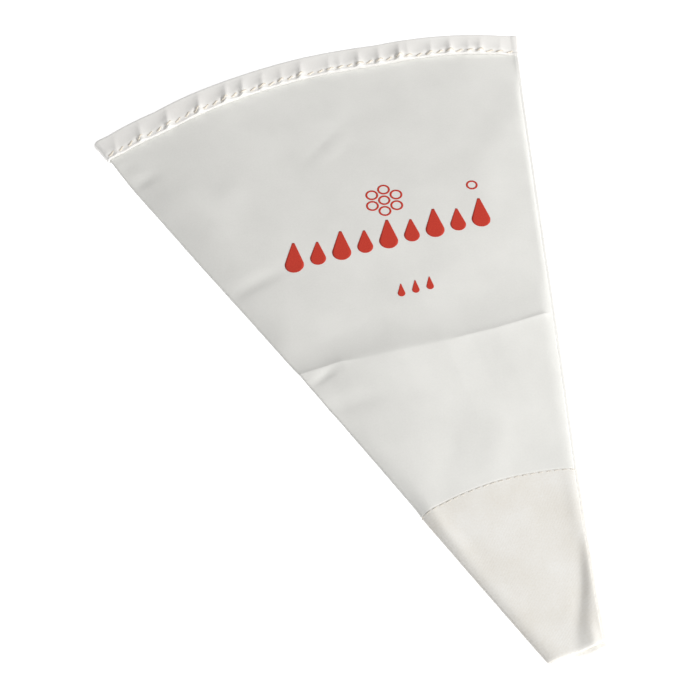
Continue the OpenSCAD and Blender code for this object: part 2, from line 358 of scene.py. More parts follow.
def back_z(x, y, rho, dl, dr):
    """Height of the back's outer face, which lies on the table."""
    x_step, y_step, start = 15.0, 19.0, 0.7
    inside = BACK_Z + WAVE_H * np.sin(x / x_step + start) * np.sin(y / y_step)
    z = REST_Z + FOLD_R * (1 - fold_arc(dl)) + (inside - REST_Z) * ramp(dl, FOLD_W, BACK_BLEND)
    z = z + MOUTH_LIFT * near_mouth(x, y, rho) + fold_lift(x, y, rho) * ramp(dl, BACK_BLEND, 0.0)
    # two layers of cloth at the seam, and four at the cuff
    layers = 2 * CLOTH_T * (1 + ramp(rho, CUFF_R + 1.0, CUFF_R - 0.5))
    at_edge = np.minimum(dr, SEAM_EDGE)
    under = flange_z(x, y, rho, at_edge) - layers + pinch(rho, at_edge)
    return z + (under - z) * ramp(dr, SEAM_EDGE + BACK_BLEND, SEAM_EDGE)


def ray_mouth(theta, r=MOUTH_R):
    """The mouth's edge, or a curve below it for a smaller r."""
    out = along(np.degrees(theta), MOUTH_OUT)
    return MOUTH_C * np.cos(theta) + np.sqrt(r * r - (MOUTH_C * np.sin(theta)) ** 2) + out


def ray_tip(theta):
    """The tip is cut straight; the seam allowance ends a little higher."""
    higher, outside, inside = 0.4, 1.0, 1.8
    dr = TIP_D * (HALF - theta)
    return TIP_D / np.cos(theta) + higher * (1 - ramp(dr, outside, inside))


def ray_cuff(theta):
    return np.full_like(theta, CUFF_R)


def ray_crease(theta):
    bow = along(CREASE_D * np.sin(theta), CREASE_BOW)
    return (CREASE_D * math.cos(CREASE_TILT) + bow) / np.cos(theta + CREASE_TILT)


# zones by the folded edge and by the seam in which a loop's stations lie closer together, and
# their largest shares of the bag's width
FOLD_ZONE, FOLD_SHARE = 14, 0.25
SEAM_ZONE, SEAM_SHARE = 12, 0.22
# how far the tip's back reaches past its front at the seam, and theta where that begins and ends
BACK_PAST, BACK_FROM, BACK_TO = 1.5, -0.1, 0.16


class Loop:
    """Stations round the bag: from the seam over the front, round the fold and along the back.

    Each station has a side, 0 front or 1 back, and a share within its kind's zone: E on the seam
    allowance, R in the zone by the seam, M between the zones and L in the zone by the fold.
    """

    def __init__(self, front_n, back_n, fold_n=17, wall_n=11):
        step_share, closer = 0.011, 1.3
        flange = [("E", share) for share in (0.0, 0.45, 0.8, 1.0)]
        wall = [("R", step_share)] + [("R", ((i + 1) / wall_n) ** closer) for i in range(wall_n)]
        fold = [("L", 1 - i / fold_n) for i in range(fold_n)]
        front = flange + wall + [("M", (i + 1) / front_n) for i in range(front_n - 1)] + fold
        back = fold[::-1] + [("M", 1 - (i + 1) / back_n) for i in range(back_n - 1)]
        back += wall[::-1] + flange[::-1]
        stations = [(0, *s) for s in front] + [(0, "L", 0.0)] + [(1, *s) for s in back]
        self.side = np.array([s[0] for s in stations])
        self.kind = np.array([s[1] for s in stations])
        self.share = np.array([s[2] for s in stations], float)
        self.n = len(stations)

    def theta(self, rho):
        """Each station's direction at its own distance from the apex."""
        width = 2 * HALF * rho
        left = np.minimum(FOLD_ZONE, FOLD_SHARE * width)
        right = np.minimum(SEAM_ZONE, SEAM_SHARE * width)
        west, east = sides(rho)
        by_fold = west + left * self.share**2 / rho
        from_edge = np.where(self.kind == "E", SEAM_EDGE * self.share, SEAM_EDGE + right * self.share)
        by_seam = east - from_edge / rho
        start, end = east - (SEAM_EDGE + right) / rho, west + left / rho
        middle = start + (end - start) * self.share
        return np.select([self.kind == "L", self.kind == "M"], [by_fold, middle], by_seam)

    def on(self, ray):
        """Distances from the apex at which the loop meets a curve given as ray(theta)."""
        rounds = 6
        rho = ray(np.zeros(self.n))
        for _ in range(rounds):
            rho = ray(self.theta(rho))
        return rho

    def tip(self):
        """The tip's edge: the back reaches a little past the front at the seam."""
        rho = self.on(ray_tip)
        return rho - BACK_PAST * self.side * ramp(self.theta(rho), BACK_FROM, BACK_TO)

    def place(self, rho):
        """The outer face at these distances, one point for each station."""
        theta = self.theta(rho)
        x, y = rho * np.sin(theta), rho * np.cos(theta)
        dl, dr = to_sides(rho, theta)
        z = np.where(self.side == 0, front_z(x, y, rho, dl, dr), back_z(x, y, rho, dl, dr))
        return np.stack([x, y, z], axis=1)

    def face(self, rho):
        """The outer face's points and outward normals at these distances."""
        step = 0.4
        points = self.place(rho)
        up = self.place(rho + step) - self.place(rho - step)
        normals = np.cross(up, np.gradient(points, axis=0))
        return points, normals / np.linalg.norm(normals, axis=1, keepdims=True)


# ---- meshes ----
def to_frame(points):
    """Points from the apex, moved to the frame and into metres."""
    points = np.asarray(points, float).copy()
    points[..., 1] += APEX_Y
    return points * MM


def new_object(name, verts, faces, uvs=None):
    """A smooth mesh object; uvs gives one pair in metres for each vertex."""
    mesh = bpy.data.meshes.new(name)
    mesh.from_pydata([tuple(v) for v in verts], [], faces)
    mesh.update()
    if uvs is not None:
        layer = mesh.uv_layers.new(name="cloth")
        index = np.empty(len(mesh.loops), np.int32)
        mesh.loops.foreach_get("vertex_index", index)
        layer.data.foreach_set("uv", np.asarray(uvs, np.float32)[index].ravel())
    mesh.polygons.foreach_set("use_smooth", [True] * len(mesh.polygons))
    obj = bpy.data.objects.new(name, mesh)
    bpy.context.scene.collection.objects.link(obj)
    return obj


def grid_faces(rows, cols, wrap=False):
    """Four-sided faces over a grid of points given row by row; wrap closes each row."""
    faces = []
    for i in range(rows - 1):
        for j in range(cols if wrap else cols - 1):
            k = (j + 1) % cols
            faces.append((i * cols + j, i * cols + k, (i + 1) * cols + k, (i + 1) * cols + j))
    return faces


def grid_object(name, grid, uv):
    rows, cols = grid.shape[:2]
    return new_object(name, to_frame(grid).reshape(-1, 3), grid_faces(rows, cols), (uv * MM).reshape(-1, 2))


def thicken(obj, thickness, offset=0.0):
    """Gives a surface this thickness, half to each side or, with offset 1, all outwards."""
    mod = obj.modifiers.new("thickness", "SOLIDIFY")
    mod.thickness = thickness * MM
    mod.offset = offset
    mod.use_even_offset = False
    bpy.context.view_layer.update()
    depsgraph = bpy.context.evaluated_depsgraph_get()
    mesh = bpy.data.meshes.new_from_object(obj.evaluated_get(depsgraph))
    obj.modifiers.clear()
    obj.data = mesh
    return obj


def cloth_uv(loop, rho):
    """Flat pattern: the back is laid out beyond the fold."""
    theta = loop.theta(rho)
    turn = np.where(loop.side == 0, theta, -2 * HALF - theta)
    return np.stack([rho * np.sin(turn), rho * np.cos(turn)], axis=1)


# ---- bag cloth ----
TIP_IN = 0.25  # the cloth ends this far inside the tip's edge, which the cuff turns round
CUFF_EDGE = 0.12  # above the cuff's edge the cloth has its own outer face


def shares(n, power):
    """n + 1 shares from 0 to 1, closer together at the start for a power over 1."""
    return np.linspace(0, 1, n + 1) ** power


def cloth_rows(loop):
    """Distances from the apex of every row of the bag's cloth, from tip to mouth."""
    tip = loop.tip() + TIP_IN
    cuff = loop.on(ray_cuff)
    crease = loop.on(ray_crease)
    mouth = loop.on(lambda theta: ray_mouth(theta, MOUTH_R - TURN_R))
    below, above = cuff - 0.6, cuff + 0.7
    to_crease = 1 - (1 - np.linspace(0, 1, 45)) ** 1.5
    rows = [tip + (below - tip) * t for t in shares(30, 1.15)]
    rows += [cuff - 0.3, cuff, cuff + CUFF_EDGE, cuff + 0.3]
    rows += [above + (crease - above) * t for t in to_crease[:-1]]
    rows += [crease + (mouth - crease) * t for t in shares(108, 1.3)]
    return rows


def make_cloth():
    """The bag's one cloth. Under the cuff it lies one layer deeper."""
    loop = Loop(front_n=136, back_n=44)
    grid, uv = [], []
    for rho in cloth_rows(loop):
        points, normals = loop.face(rho)
        under = CLOTH_T * ramp(CUFF_R + CUFF_EDGE - rho, 0.0, 0.6)
        grid.append(points - normals * (CLOTH_T / 2 + under)[:, None])
        uv.append(cloth_uv(loop, rho))
    return thicken(grid_object("bag_cloth", np.array(grid), np.array(uv)), CLOTH_T)


# ---- tip cuff ----
CUFF_DEPTH = 0.25  # from the bag's outer face in to the middle of the cuff's cloth
# the cloth that is turned in round the tip, from its inner end: (distance up from the tip's edge,
# offset from the bag's outer face)
CUFF_LIP = (
    (3.5, -1.5), (2.2, -1.5), (0.9, -1.48), (0.1, -1.35), (-0.2, -1.05), (-0.28, -0.75), (-0.2, -0.45),
    (0.1, -0.27),
)


def make_cuff():
    """The second layer over the tip, turned in round the tip's edge."""
    loop = Loop(front_n=56, back_n=40)
    tip = loop.tip()
    edge = loop.on(ray_cuff)
    dl, dr = to_sides(tip, loop.theta(tip))
    # how deep the turned-in cloth may lie before it would come out on the other side
    room_by_fold = 0.55 + 0.95 * ramp(dl, 0.6, 3.5)
    room_by_seam = 0.85 + 0.65 * ramp(dr, SEAM_EDGE, SEAM_EDGE + 3.0)
    room = np.minimum(room_by_fold, room_by_seam)
    rows = [(tip + up, offset) for up, offset in CUFF_LIP]
    start, end = tip + CUFF_LIP[-1][0], edge - 0.7
    rows += [(start + (end - start) * t, -CUFF_DEPTH) for t in shares(44, 1.2)[1:]]
    rows += [(edge - 0.35, -0.27), (edge, -0.34)]
    grid, uv = [], []
    for rho, offset in rows:
        points, normals = loop.face(rho)
        grid.append(points + normals * np.maximum(offset, -room)[:, None])
        uv.append(cloth_uv(loop, rho))
    return thicken(grid_object("tip_cuff", np.array(grid), np.array(uv)), CLOTH_T * 0.96)


# ---- mouth hem ----
# place along the mouth from its middle and height of each tuck of the front
FRONT_TUCKS = (
    (-88.5, 0.5), (-77.3, 1.0), (-65.0, 1.35), (-50.2, 1.4), (-37.8, 1.35), (-30.0, 1.3), (-21.0, 0.95),
    (-12.4, 0.7), (-3.6, 1.25), (9.0, 0.6), (13.8, 0.5), (22.2, 1.3), (31.2, 1.15), (40.2, 1.5),
    (44.0, 0.7), (54.0, 0.8), (62.3, 1.3), (70.3, 0.6), (75.4, 1.0), (84.0, 0.4),
)
# slant of the front's tucks, by place along the mouth
FRONT_SLANT = ((-40, 0.36), (45, 0.08))
# the back's tucks: ranges of their height, slant and distance apart, and the ends left plain
BACK_TUCK_H, BACK_SLANT, BACK_TUCK_STEP = (0.12, 0.28), (-0.1, 0.3), (8, 14)
BACK_PLAIN_START, BACK_PLAIN_END = 9, 8
# the line of stitches, from the mouth's edge down
STITCH_LINE = HEM_W - HEM_STITCH
# share of a tuck's height by distance from the mouth's edge
TUCK_FADE = (
    (0, 0.0), (0.25 * STITCH_LINE, 0.1), (0.55 * STITCH_LINE, 0.42), (0.85 * STITCH_LINE, 0.88),
    (STITCH_LINE, 1.0), (HEM_W - 0.5, 0.9), (HEM_W + 0.3, 0.7),
)
# a tuck rises slowly from the west and drops fast to the east, over these lengths
TUCK_RISE, TUCK_DROP, TUCK_BLUNT, TUCK_GAIN = 3.2, 1.25, 0.2, 1.5
# the pocket west of a tuck, at the stitches: depth, place, and half sizes along and across the hem
POCKET, POCKET_AT, POCKET_L, POCKET_W = 0.6, 1.9, 1.3, 1.4
# the groove that the stitches pull: depth and half width
GROOVE, GROOVE_W = 0.26, 0.6
# how much lower the hem's lower edge hangs, the share of that by place along the mouth, and the
# distance below the mouth's edge at which it begins
HEM_HANG, HANG_SHARE, HANG_FROM = 0.6, ((-60, 1.0), (20, 0.8), (60, 0.0)), 4.0


class Hem:
    """The hem's place on the bag: points and normals of the outer face near the mouth.

    q is the distance along the loop, and a the distance below the mouth's edge.
    """

    def __init__(self):
        self.loop = Loop(front_n=310, back_n=230, fold_n=20, wall_n=14)
        first, last, step = -1.0, 13.0, 0.5
        self.a = np.arange(first, last + step / 2, step)
        points, normals = [], []
        for a in self.a:
            p, n = self.loop.face(self.loop.on(lambda theta, a=a: ray_mouth(theta, MOUTH_R - a)))
            points.append(p)
            normals.append(n)
        self.p, self.n = np.array(points), np.array(normals)
        mid = self.p[len(self.a) // 2]
        self.q = lengths(mid)
        self.fold_q = self.q[self.loop.side == 0][-1]
        self.s = MOUTH_R * np.arctan2(mid[:, 0], mid[:, 1] - MOUTH_C)
        self.tucks = self.place_tucks()

    def place_tucks(self):
        """(place along the loop, height, slant, which way it leans) of every tuck."""
        rng = random.Random(11)
        front = self.loop.side == 0
        order = np.argsort(self.s[front])
        tucks = []
        for s, height in FRONT_TUCKS:
            q = np.interp(s, self.s[front][order], self.q[front][order])
            tucks.append((q, height, along(s, FRONT_SLANT), 1.0))
        q = self.fold_q + BACK_PLAIN_START
        while q < self.q[-1] - BACK_PLAIN_END:
            tucks.append((q, rng.uniform(*BACK_TUCK_H), rng.uniform(*BACK_SLANT), -1.0))
            q += rng.uniform(*BACK_TUCK_STEP)
        return tucks

    def at(self, q, a):
        """The outer face's point and normal at places q along the loop and a below the edge."""
        j = np.clip(np.searchsorted(self.q, q) - 1, 0, len(self.q) - 2)
        f = (q - self.q[j]) / (self.q[j + 1] - self.q[j])
        r = (a - self.a[0]) / (self.a[1] - self.a[0])
        i = np.clip(r.astype(int), 0, len(self.a) - 2)
        g = r - i
        out = []
        for table in (self.p, self.n):
            lo = table[i, j] * (1 - f)[:, None] + table[i, j + 1] * f[:, None]
            hi = table[i + 1, j] * (1 - f)[:, None] + table[i + 1, j + 1] * f[:, None]
            out.append(lo * (1 - g)[:, None] + hi * g[:, None])
        return out

    def pucker(self, q, a):
        """How far the outer layer stands out of its flat lie."""
        z = np.zeros_like(q)
        root = math.sqrt(TUCK_BLUNT)
        rise_top, drop_top = math.exp(-root / TUCK_RISE), math.exp(-root / TUCK_DROP)
        for at, height, slant, lean in self.tucks:
            d = (at - slant * (STITCH_LINE - a) - q) * lean
            rise = np.exp(-np.sqrt(np.minimum(d, 0) ** 2 + TUCK_BLUNT) / TUCK_RISE) / rise_top
            drop = np.exp(-np.sqrt(np.maximum(d, 0) ** 2 + TUCK_BLUNT) / TUCK_DROP) / drop_top
            z += TUCK_GAIN * height * np.where(d < 0, rise, drop)
            z -= POCKET * height * bell(d + POCKET_AT, POCKET_L) * bell(a - STITCH_LINE, POCKET_W)
        return z * along(a, TUCK_FADE) - GROOVE * bell(a - STITCH_LINE, GROOVE_W)

    def widen(self, q, a):
        """The hem's lower edge hangs a little lower on the fold's side."""
        s = np.interp(q, self.q, self.s)
        return a + HEM_HANG * along(s, HANG_SHARE) * ramp(a, HANG_FROM, HEM_W)


def hem_path():
    """(distance below the mouth's edge, height over the bag's face) along the turned cloth."""
    # the turn over the mouth's edge: half depth, half height and the height of its middle
    top_r, top_h, top_mid = 0.625, 0.875, 0.625
    # the turn back in at the lower edge: radius, place, and the height of its middle
    low_r, low_a, low_mid = 0.21, HEM_W - 0.4, 0.48
    # height of the outer layer by the mouth's edge, and of the layer against the bag
    outer_h, inner_h = 1.5, 0.27
    path = []
    for t in np.linspace(0, math.pi, 9):
        path.append((TURN_R - top_r * math.sin(t), top_mid - top_h * math.cos(t)))
    for t in np.linspace(0, 1, 17)[1:]:
        height = low_mid + low_r + (outer_h - low_mid - low_r) * (1 - t) ** 1.2
        path.append((TURN_R + (low_a - TURN_R) * t, height))
    for t in np.linspace(0, math.pi, 8)[1:]:
        path.append((low_a + low_r * math.sin(t), low_mid + low_r * math.cos(t)))
    path += [(a, inner_h) for a in (HEM_W - 3.0, HEM_W - 6.0, 1.6)]
    return np.array(path)


def outline(path, thickness):
    """The closed outline of a strip of cloth that follows path."""
    d = np.gradient(path, axis=0)
    d /= np.linalg.norm(d, axis=1, keepdims=True)
    normal = np.stack([-d[:, 1], d[:, 0]], axis=1) * thickness / 2
    return np.concatenate([path + normal, (path - normal)[::-1]])


def make_hem(hem):
    """The turned hem: its cut outline, carried along the mouth and puckered on its outer side."""
    path = hem_path()
    ring = outline(path, CLOTH_T * 0.8)
    n_ring, n_path = len(ring), len(path)
    by_fold = 6
    stations = np.concatenate([
        np.arange(hem.q[0], hem.fold_q - by_fold, 0.5),
        np.arange(hem.fold_q - by_fold, hem.fold_q + by_fold, 0.25),
        np.arange(hem.fold_q + by_fold, hem.q[-1], 0.65),
    ])
    q = np.repeat(stations, n_ring)
    a, height = np.tile(ring[:, 0], len(stations)), np.tile(ring[:, 1], len(stations))
    points, normals = hem.at(q, hem.widen(q, a))
    outer_side = ramp(height, 0.4, 0.62)
    lift = hem.pucker(q, a) * outer_side
    verts = points + normals * (height + lift)[:, None]
    faces = grid_faces(len(stations), n_ring, wrap=True)
    for base in (0, (len(stations) - 1) * n_ring):
        for k in range(n_path - 1):
            quad = (base + k, base + k + 1, base + n_ring - 2 - k, base + n_ring - 1 - k)
            faces.append(quad if base else quad[::-1])
    uv = np.stack([q, a + 3 * height], axis=1) * MM
    return new_object("mouth_hem", to_frame(verts), faces, uv)


# ---- stitches ----
# thread's radius, distance from stitch to stitch and how much that varies, and the range of a
# stitch's half length
HEM_THREAD_R, HEM_PITCH, HEM_VARY, HEM_HALF = 0.36, 4.2, 0.25, (1.35, 1.75)
CUFF_THREAD_R, CUFF_PITCH, CUFF_VARY, CUFF_HALF = 0.14, 2.9, 0.15, (1.0, 1.2)
SEAM_THREAD_R, SEAM_PITCH, SEAM_VARY, SEAM_HALF = 0.1, 3.0, 0.1, (1.1, 1.3)
# a thread's rise over the cloth in its middle, and how deep its ends go
HEM_DIVE, CUFF_DIVE, SEAM_DIVE = (0.16, 0.5), (0.1, 0.3), (0.0, 0.2)
# the hem's threads: height over the bag's face without the puckers, slant, width of the S, and how
# far they stray from the line
HEM_THREAD_Z, HEM_THREAD_SLANT, HEM_THREAD_S, HEM_STRAY = 0.86, (0.1, 0.4), 0.32, 0.18


def stitch_tubes(name, lines, radius):
    """One object of short threads; each line is an array of points in millimetres."""
    corners = 7
    verts, faces, uvs = [], [], []
    for line in lines:
        tangent = np.gradient(line, axis=0)
        tangent /= np.linalg.norm(tangent, axis=1, keepdims=True)
        side = np.cross(tangent, [0, 0, 1.0])
        side /= np.linalg.norm(side, axis=1, keepdims=True)
        up = np.cross(side, tangent)
        base, last = len(verts), len(line) - 1
        for i, (p, length) in enumerate(zip(line, lengths(line))):
            for k in range(corners):
                t = 2 * math.pi * k / corners
                verts.append(p + radius * (side[i] * math.cos(t) + up[i] * math.sin(t)))
                uvs.append((length * MM, k / corners * MM))
        faces += [tuple(base + i for i in face) for face in grid_faces(len(line), corners, wrap=True)]
        faces.append(tuple(base + k for k in reversed(range(corners))))
        faces.append(tuple(base + last * corners + k for k in range(corners)))
    return new_object(name, to_frame(verts), faces, uvs)


def dive(t, lift, sink):
    """Height of a thread over the cloth: it rises from one hole and goes down in the next."""
    return lift * (1 - t**2) - sink * np.abs(t) ** 7


def hem_stitches(hem):
    """Threads of the hem, in two lots: front and back. Each lies in a slight S."""
    rng = random.Random(5)
    front, back = [], []
    t = np.linspace(-1, 1, 11)
    at = 3.4
    while at < hem.q[-1] - 3:
        half = rng.uniform(*HEM_HALF)
        middle = STITCH_LINE + rng.uniform(-HEM_STRAY, HEM_STRAY)
        slant = rng.uniform(*HEM_THREAD_SLANT)
        q, a = at + t * half, middle + slant * t + HEM_THREAD_S * np.sin(math.pi * t)
        points, normals = hem.at(q, a)
        height = HEM_THREAD_Z + hem.pucker(q, a) + dive(t, *HEM_DIVE)
        (front if at < hem.fold_q else back).append(points + normals * height[:, None])
        at += HEM_PITCH + rng.uniform(-HEM_VARY, HEM_VARY)
    return front, back


def sample(table, q, at):
    """Rows of table, which are given at places q, at the places at."""
    return np.stack([np.interp(at, q, table[:, k]) for k in range(3)], axis=1)


def cuff_stitches():
    """Threads along the cuff's upper edge, in two lots: front and back."""
    rng = random.Random(7)
    t = np.linspace(-1, 1, 9)
    loop = Loop(front_n=200, back_n=200)
    points, normals = loop.face(np.full(loop.n, CUFF_R - CUFF_STITCH))
    q = lengths(points)
    fold_q = q[loop.side == 0][-1]
    front, back = [], []
    at = 2.0
    while at < q[-1] - 2:
        here = at + t * rng.uniform(*CUFF_HALF)
        p, n = sample(points, q, here), sample(normals, q, here)
        (front if at < fold_q else back).append(p + n * dive(t, *CUFF_DIVE)[:, None])
        at += CUFF_PITCH + rng.uniform(-CUFF_VARY, CUFF_VARY)
    return front, back


def seam_stitches():
    """Threads along the top of the seam allowance, in two lots that part at the crease."""
    rng = random.Random(9)
    t = np.linspace(-1, 1, 9)
    upper, lower = [], []
    at, end = TIP_D + 12.0, MOUTH_C + MOUTH_R - HEM_W - 6
    while at < end:
        rho = at + t * rng.uniform(*SEAM_HALF)
        theta = sides(rho)[1] - (SEAM_EDGE - 0.06) / rho
        x, y = rho * np.sin(theta), rho * np.cos(theta)
        z = front_z(x, y, rho, *to_sides(rho, theta)) + dive(t, *SEAM_DIVE)
        (upper if crease_offset(x, y).mean() > 0 else lower).append(np.stack([x, y, z], axis=1))
        at += SEAM_PITCH + rng.uniform(-SEAM_VARY, SEAM_VARY)
    return upper, lower


# ---- print ----
FILM_T, FILM_GAP = 0.06, 0.03  # the ink's thickness and its inner face's height over the cloth
LEAN = math.radians(-14)
# round end's radius and length of the drops
BIG_DROP, SMALL_DROP, SIZE_DROP = (3.6, 10.2), (3.0, 7.8), (1.4, 4.4)
DROP_PITCH, SIZE_PITCH = 9.3, 5.6
SIZE_X, SIZE_Y = 2.5, -24.8
ROSETTE_X, ROSETTE_Y, ROSETTE_R = 4.6, 19.5, 5.4
RING_X, RING_Y = 39.5, 17
# radii of the rosette's middle ring, of the rings round it, and of the ring by itself
MIDDLE_R, ROUND_R, LONE_R = 2.4, 2.5, 2.3
RING_W = 0.8


def on_front(u, v):
    """Points of the front's outer face under the print's own coordinates."""
    c, s = math.cos(PRINT_TILT), math.sin(PRINT_TILT)
    x = PRINT_X + u * c - v * s
    y = PRINT_D + u * s + v * c
    rho, theta = np.hypot(x, y), np.arctan2(x, y)
    return np.stack([x, y, front_z(x, y, rho, *to_sides(rho, theta))], axis=-1)


def drop_patch(cx, cy, r, length):
    """A leaning drop as a grid of (u, v): a round end run out to a small tip."""
    rows, round_rows, cols = 22, 12, 9
    # where the round end passes into the straight sides, and the tip's half width, in radii
    neck_v, neck_half, tip_half = 0.34, 0.94, 0.12
    first_turn = 0.12
    last_turn = math.pi / 2 + math.atan2(neck_v, neck_half)
    v_round = -r * np.cos(np.linspace(first_turn, last_turn, round_rows))
    v_long = np.linspace(r * neck_v, length, rows - round_rows + 1)[1:]
    t = np.linspace(-1, 1, cols)
    grid = []
    for v in np.concatenate([v_round, v_long]):
        if v <= r * neck_v:
            half = math.sqrt(max(r * r - v * v, 0))
        else:
            half = r * neck_half + (r * tip_half - r * neck_half) * (v - r * neck_v) / (length - r * neck_v)
        grid.append(np.stack([t * half, np.full(cols, v)], axis=1))
    u, v = np.moveaxis(np.array(grid), -1, 0)
    c, s = math.cos(LEAN), math.sin(LEAN)
    return np.stack([cx + u * c - v * s, cy + u * s + v * c], axis=-1)


def ring_patch(cx, cy, r):
    t = np.linspace(0, 2 * math.pi, 41)
    radii = np.linspace(r - RING_W, r, 4)[:, None]
    return np.stack([cx + radii * np.cos(t), cy + radii * np.sin(t)], axis=-1)


def print_object(name, patches):
    """A thin film on the front for each patch, as one object."""
    verts, faces, uvs = [], [], []
    for patch in patches:
        rows, cols = patch.shape[:2]
        closed = np.allclose(patch[:, 0], patch[:, -1])
        if closed:
            patch = patch[:, :-1]
            cols -= 1
        base = len(verts)
        points = on_front(patch[..., 0], patch[..., 1]).reshape(-1, 3)
        points[:, 2] += FILM_GAP
        verts += list(points)
        uvs += list(patch.reshape(-1, 2) * MM)
        faces += [tuple(base + i for i in face) for face in grid_faces(rows, cols, wrap=closed)]
    return thicken(new_object(name, to_frame(verts), faces, uvs), FILM_T, offset=1.0)


def print_drops():
    """Nine drops in a row, big and small in turn."""
    return [drop_patch(i * DROP_PITCH, 0, *(SMALL_DROP if i % 2 else BIG_DROP)) for i in range(-4, 5)]


def print_rosette():
    """Six rings round a seventh, and one small ring by itself."""
    rings = [ring_patch(ROSETTE_X, ROSETTE_Y, MIDDLE_R)]
    for i in range(6):
        turn = math.radians(60 * i + 15)
        x, y = ROSETTE_X + ROSETTE_R * math.cos(turn), ROSETTE_Y + ROSETTE_R * math.sin(turn)
        rings.append(ring_patch(x, y, ROUND_R))
    return rings + [ring_patch(RING_X, RING_Y, LONE_R)]


def print_size_drops():
    return [drop_patch(SIZE_X + i * SIZE_PITCH, SIZE_Y, *SIZE_DROP) for i in (-1, 0, 1)]


# ---- materials ----
WEAVE, TWILL = 0.5, 0.6  # distance from thread to thread


class Nodes:
    """Short calls for a material's node tree."""

    def __init__(self, name, **inputs):
        self.mat = bpy.data.materials.new(name)
        self.mat.use_nodes = True
        self.tree = self.mat.node_tree
        self.shader = self.tree.nodes["Principled BSDF"]
        for key, value in inputs.items():
            self.shader.inputs[key.replace("_", " ")].default_value = value

    def add(self, kind, **values):
        """A new node; each value sets the node's own setting or its input of that name."""
        node = self.tree.nodes.new(kind)
        for key, value in values.items():
            if hasattr(node, key):
                setattr(node, key, value)
            else:
                node.inputs[key.replace("_", " ")].default_value = value
        return node

    def link(self, a, b):
        self.tree.links.new(a, b)

    def math(self, op, *values):
        node = self.add("ShaderNodeMath", operation=op)
        for socket, value in zip(node.inputs, values):
            if isinstance(value, (int, float)):
                socket.default_value = value
            else:
                self.link(value, socket)
        return node.outputs[0]

    def plus(self, a, b, weight):
        """a and weight times b."""
        return self.math("ADD", a, self.math("MULTIPLY", b, weight))

    def uv_mm(self):
        """The flat-pattern place in millimetres: as a vector, and its two coordinates."""
        uv = self.add("ShaderNodeTexCoord").outputs["UV"]
        scale = self.add("ShaderNodeVectorMath", operation="SCALE", Scale=1 / MM)
        self.link(uv, scale.inputs[0])
        split = self.add("ShaderNodeSeparateXYZ")
        self.link(scale.outputs[0], split.inputs[0])
        return scale.outputs[0], split.outputs[0], split.outputs[1]

    def noise(self, vector, scale, detail=2.0):
        node = self.add("ShaderNodeTexNoise", Scale=scale, Detail=detail)
        self.link(vector, node.inputs["Vector"])
        return node.outputs["Fac"]

    def wave(self, value, pitch):
        """A sine of -1 to 1 with this pitch in millimetres."""
        return self.math("SINE", self.math("MULTIPLY", value, 2 * math.pi / pitch))

    def colour(self, value, low, low_colour, high, high_colour):
        """The shader's colour: low_colour up to low, high_colour from high on."""
        node = self.add("ShaderNodeValToRGB")
        ends = zip(node.color_ramp.elements, (low, high), (low_colour, high_colour))
        for element, place, colour in ends:
            element.position = place
            element.color = colour
        self.link(value, node.inputs[0])
        self.link(node.outputs[0], self.shader.inputs["Base Color"])

    def bump(self, height, strength, distance):
        """The shader's bump; distance is in metres."""
        node = self.add("ShaderNodeBump", Strength=strength, Distance=distance)
        self.link(height, node.inputs["Height"])
        self.link(node.outputs[0], self.shader.inputs["Normal"])


def srgb(r, g, b):
    """A colour given as 0 to 255, in the linear values that the nodes take."""
    def one(c):
        c /= 255
        return c / 12.92 if c <= 0.04045 else ((c + 0.055) / 1.055) ** 2.4

    return (one(r), one(g), one(b), 1.0)


def cloth_material(name, light, dark, strength, rough, twill=False):
    """Woven cotton: colour drifts from light to dark in soft patches, the weave is in the bump.

    Noise scales are per millimetre.
    """
    m = Nodes(name, Roughness=rough, Specular_IOR_Level=0.35, Sheen_Weight=0.08, Sheen_Roughness=0.4)
    vector, u, v = m.uv_mm()
    patches, grain = m.noise(vector, 0.045, 3.0), m.noise(vector, 1.3)
    m.colour(m.plus(m.math("MULTIPLY", patches, 0.7), grain, 0.3), 0.3, dark, 0.62, light)
    if twill:
        lines = m.wave(m.math("ADD", u, v), TWILL)
        cross = m.wave(m.math("SUBTRACT", u, v), TWILL * 0.6)
        height = m.plus(lines, cross, 0.35)
    else:
        height = m.math("MULTIPLY", m.wave(u, WEAVE), m.wave(v, WEAVE))
    height = m.plus(height, m.noise(vector, 2.2, 3.0), 1.6)
    height = m.plus(height, m.noise(vector, 0.35), 2.2)
    m.bump(height, strength, 0.06 * MM)
    return m.mat


def thread_material(name, dark, light):
    """Two-ply cotton thread: slanted ridges round the thread, with painted shade in its colour: dark in the
    grooves between the ridges and light on their tops.
    """
    m = Nodes(name, Roughness=0.75, Specular_IOR_Level=0.3)
    _, u, v = m.uv_mm()
    twist = m.wave(m.math("ADD", u, v), 0.5)
    # painted shade: the colour follows the twist's height, dark in its grooves and light on its ridges
    m.colour(m.math("MULTIPLY_ADD", twist, 0.5, 0.5), 0.0, dark, 1.0, light)
    m.bump(twist, 0.6, 0.08 * MM)
    return m.mat


def print_material():
    """Matt ink that lets a little of the weave through."""
    m = Nodes("print", Roughness=0.6)
    vector, u, v = m.uv_mm()
    m.colour(m.noise(vector, 2.4), 0.25, srgb(192, 46, 32), 0.75, srgb(212, 66, 46))
    m.bump(m.math("MULTIPLY", m.wave(u, WEAVE), m.wave(v, WEAVE)), 0.25, 0.05 * MM)
    return m.mat


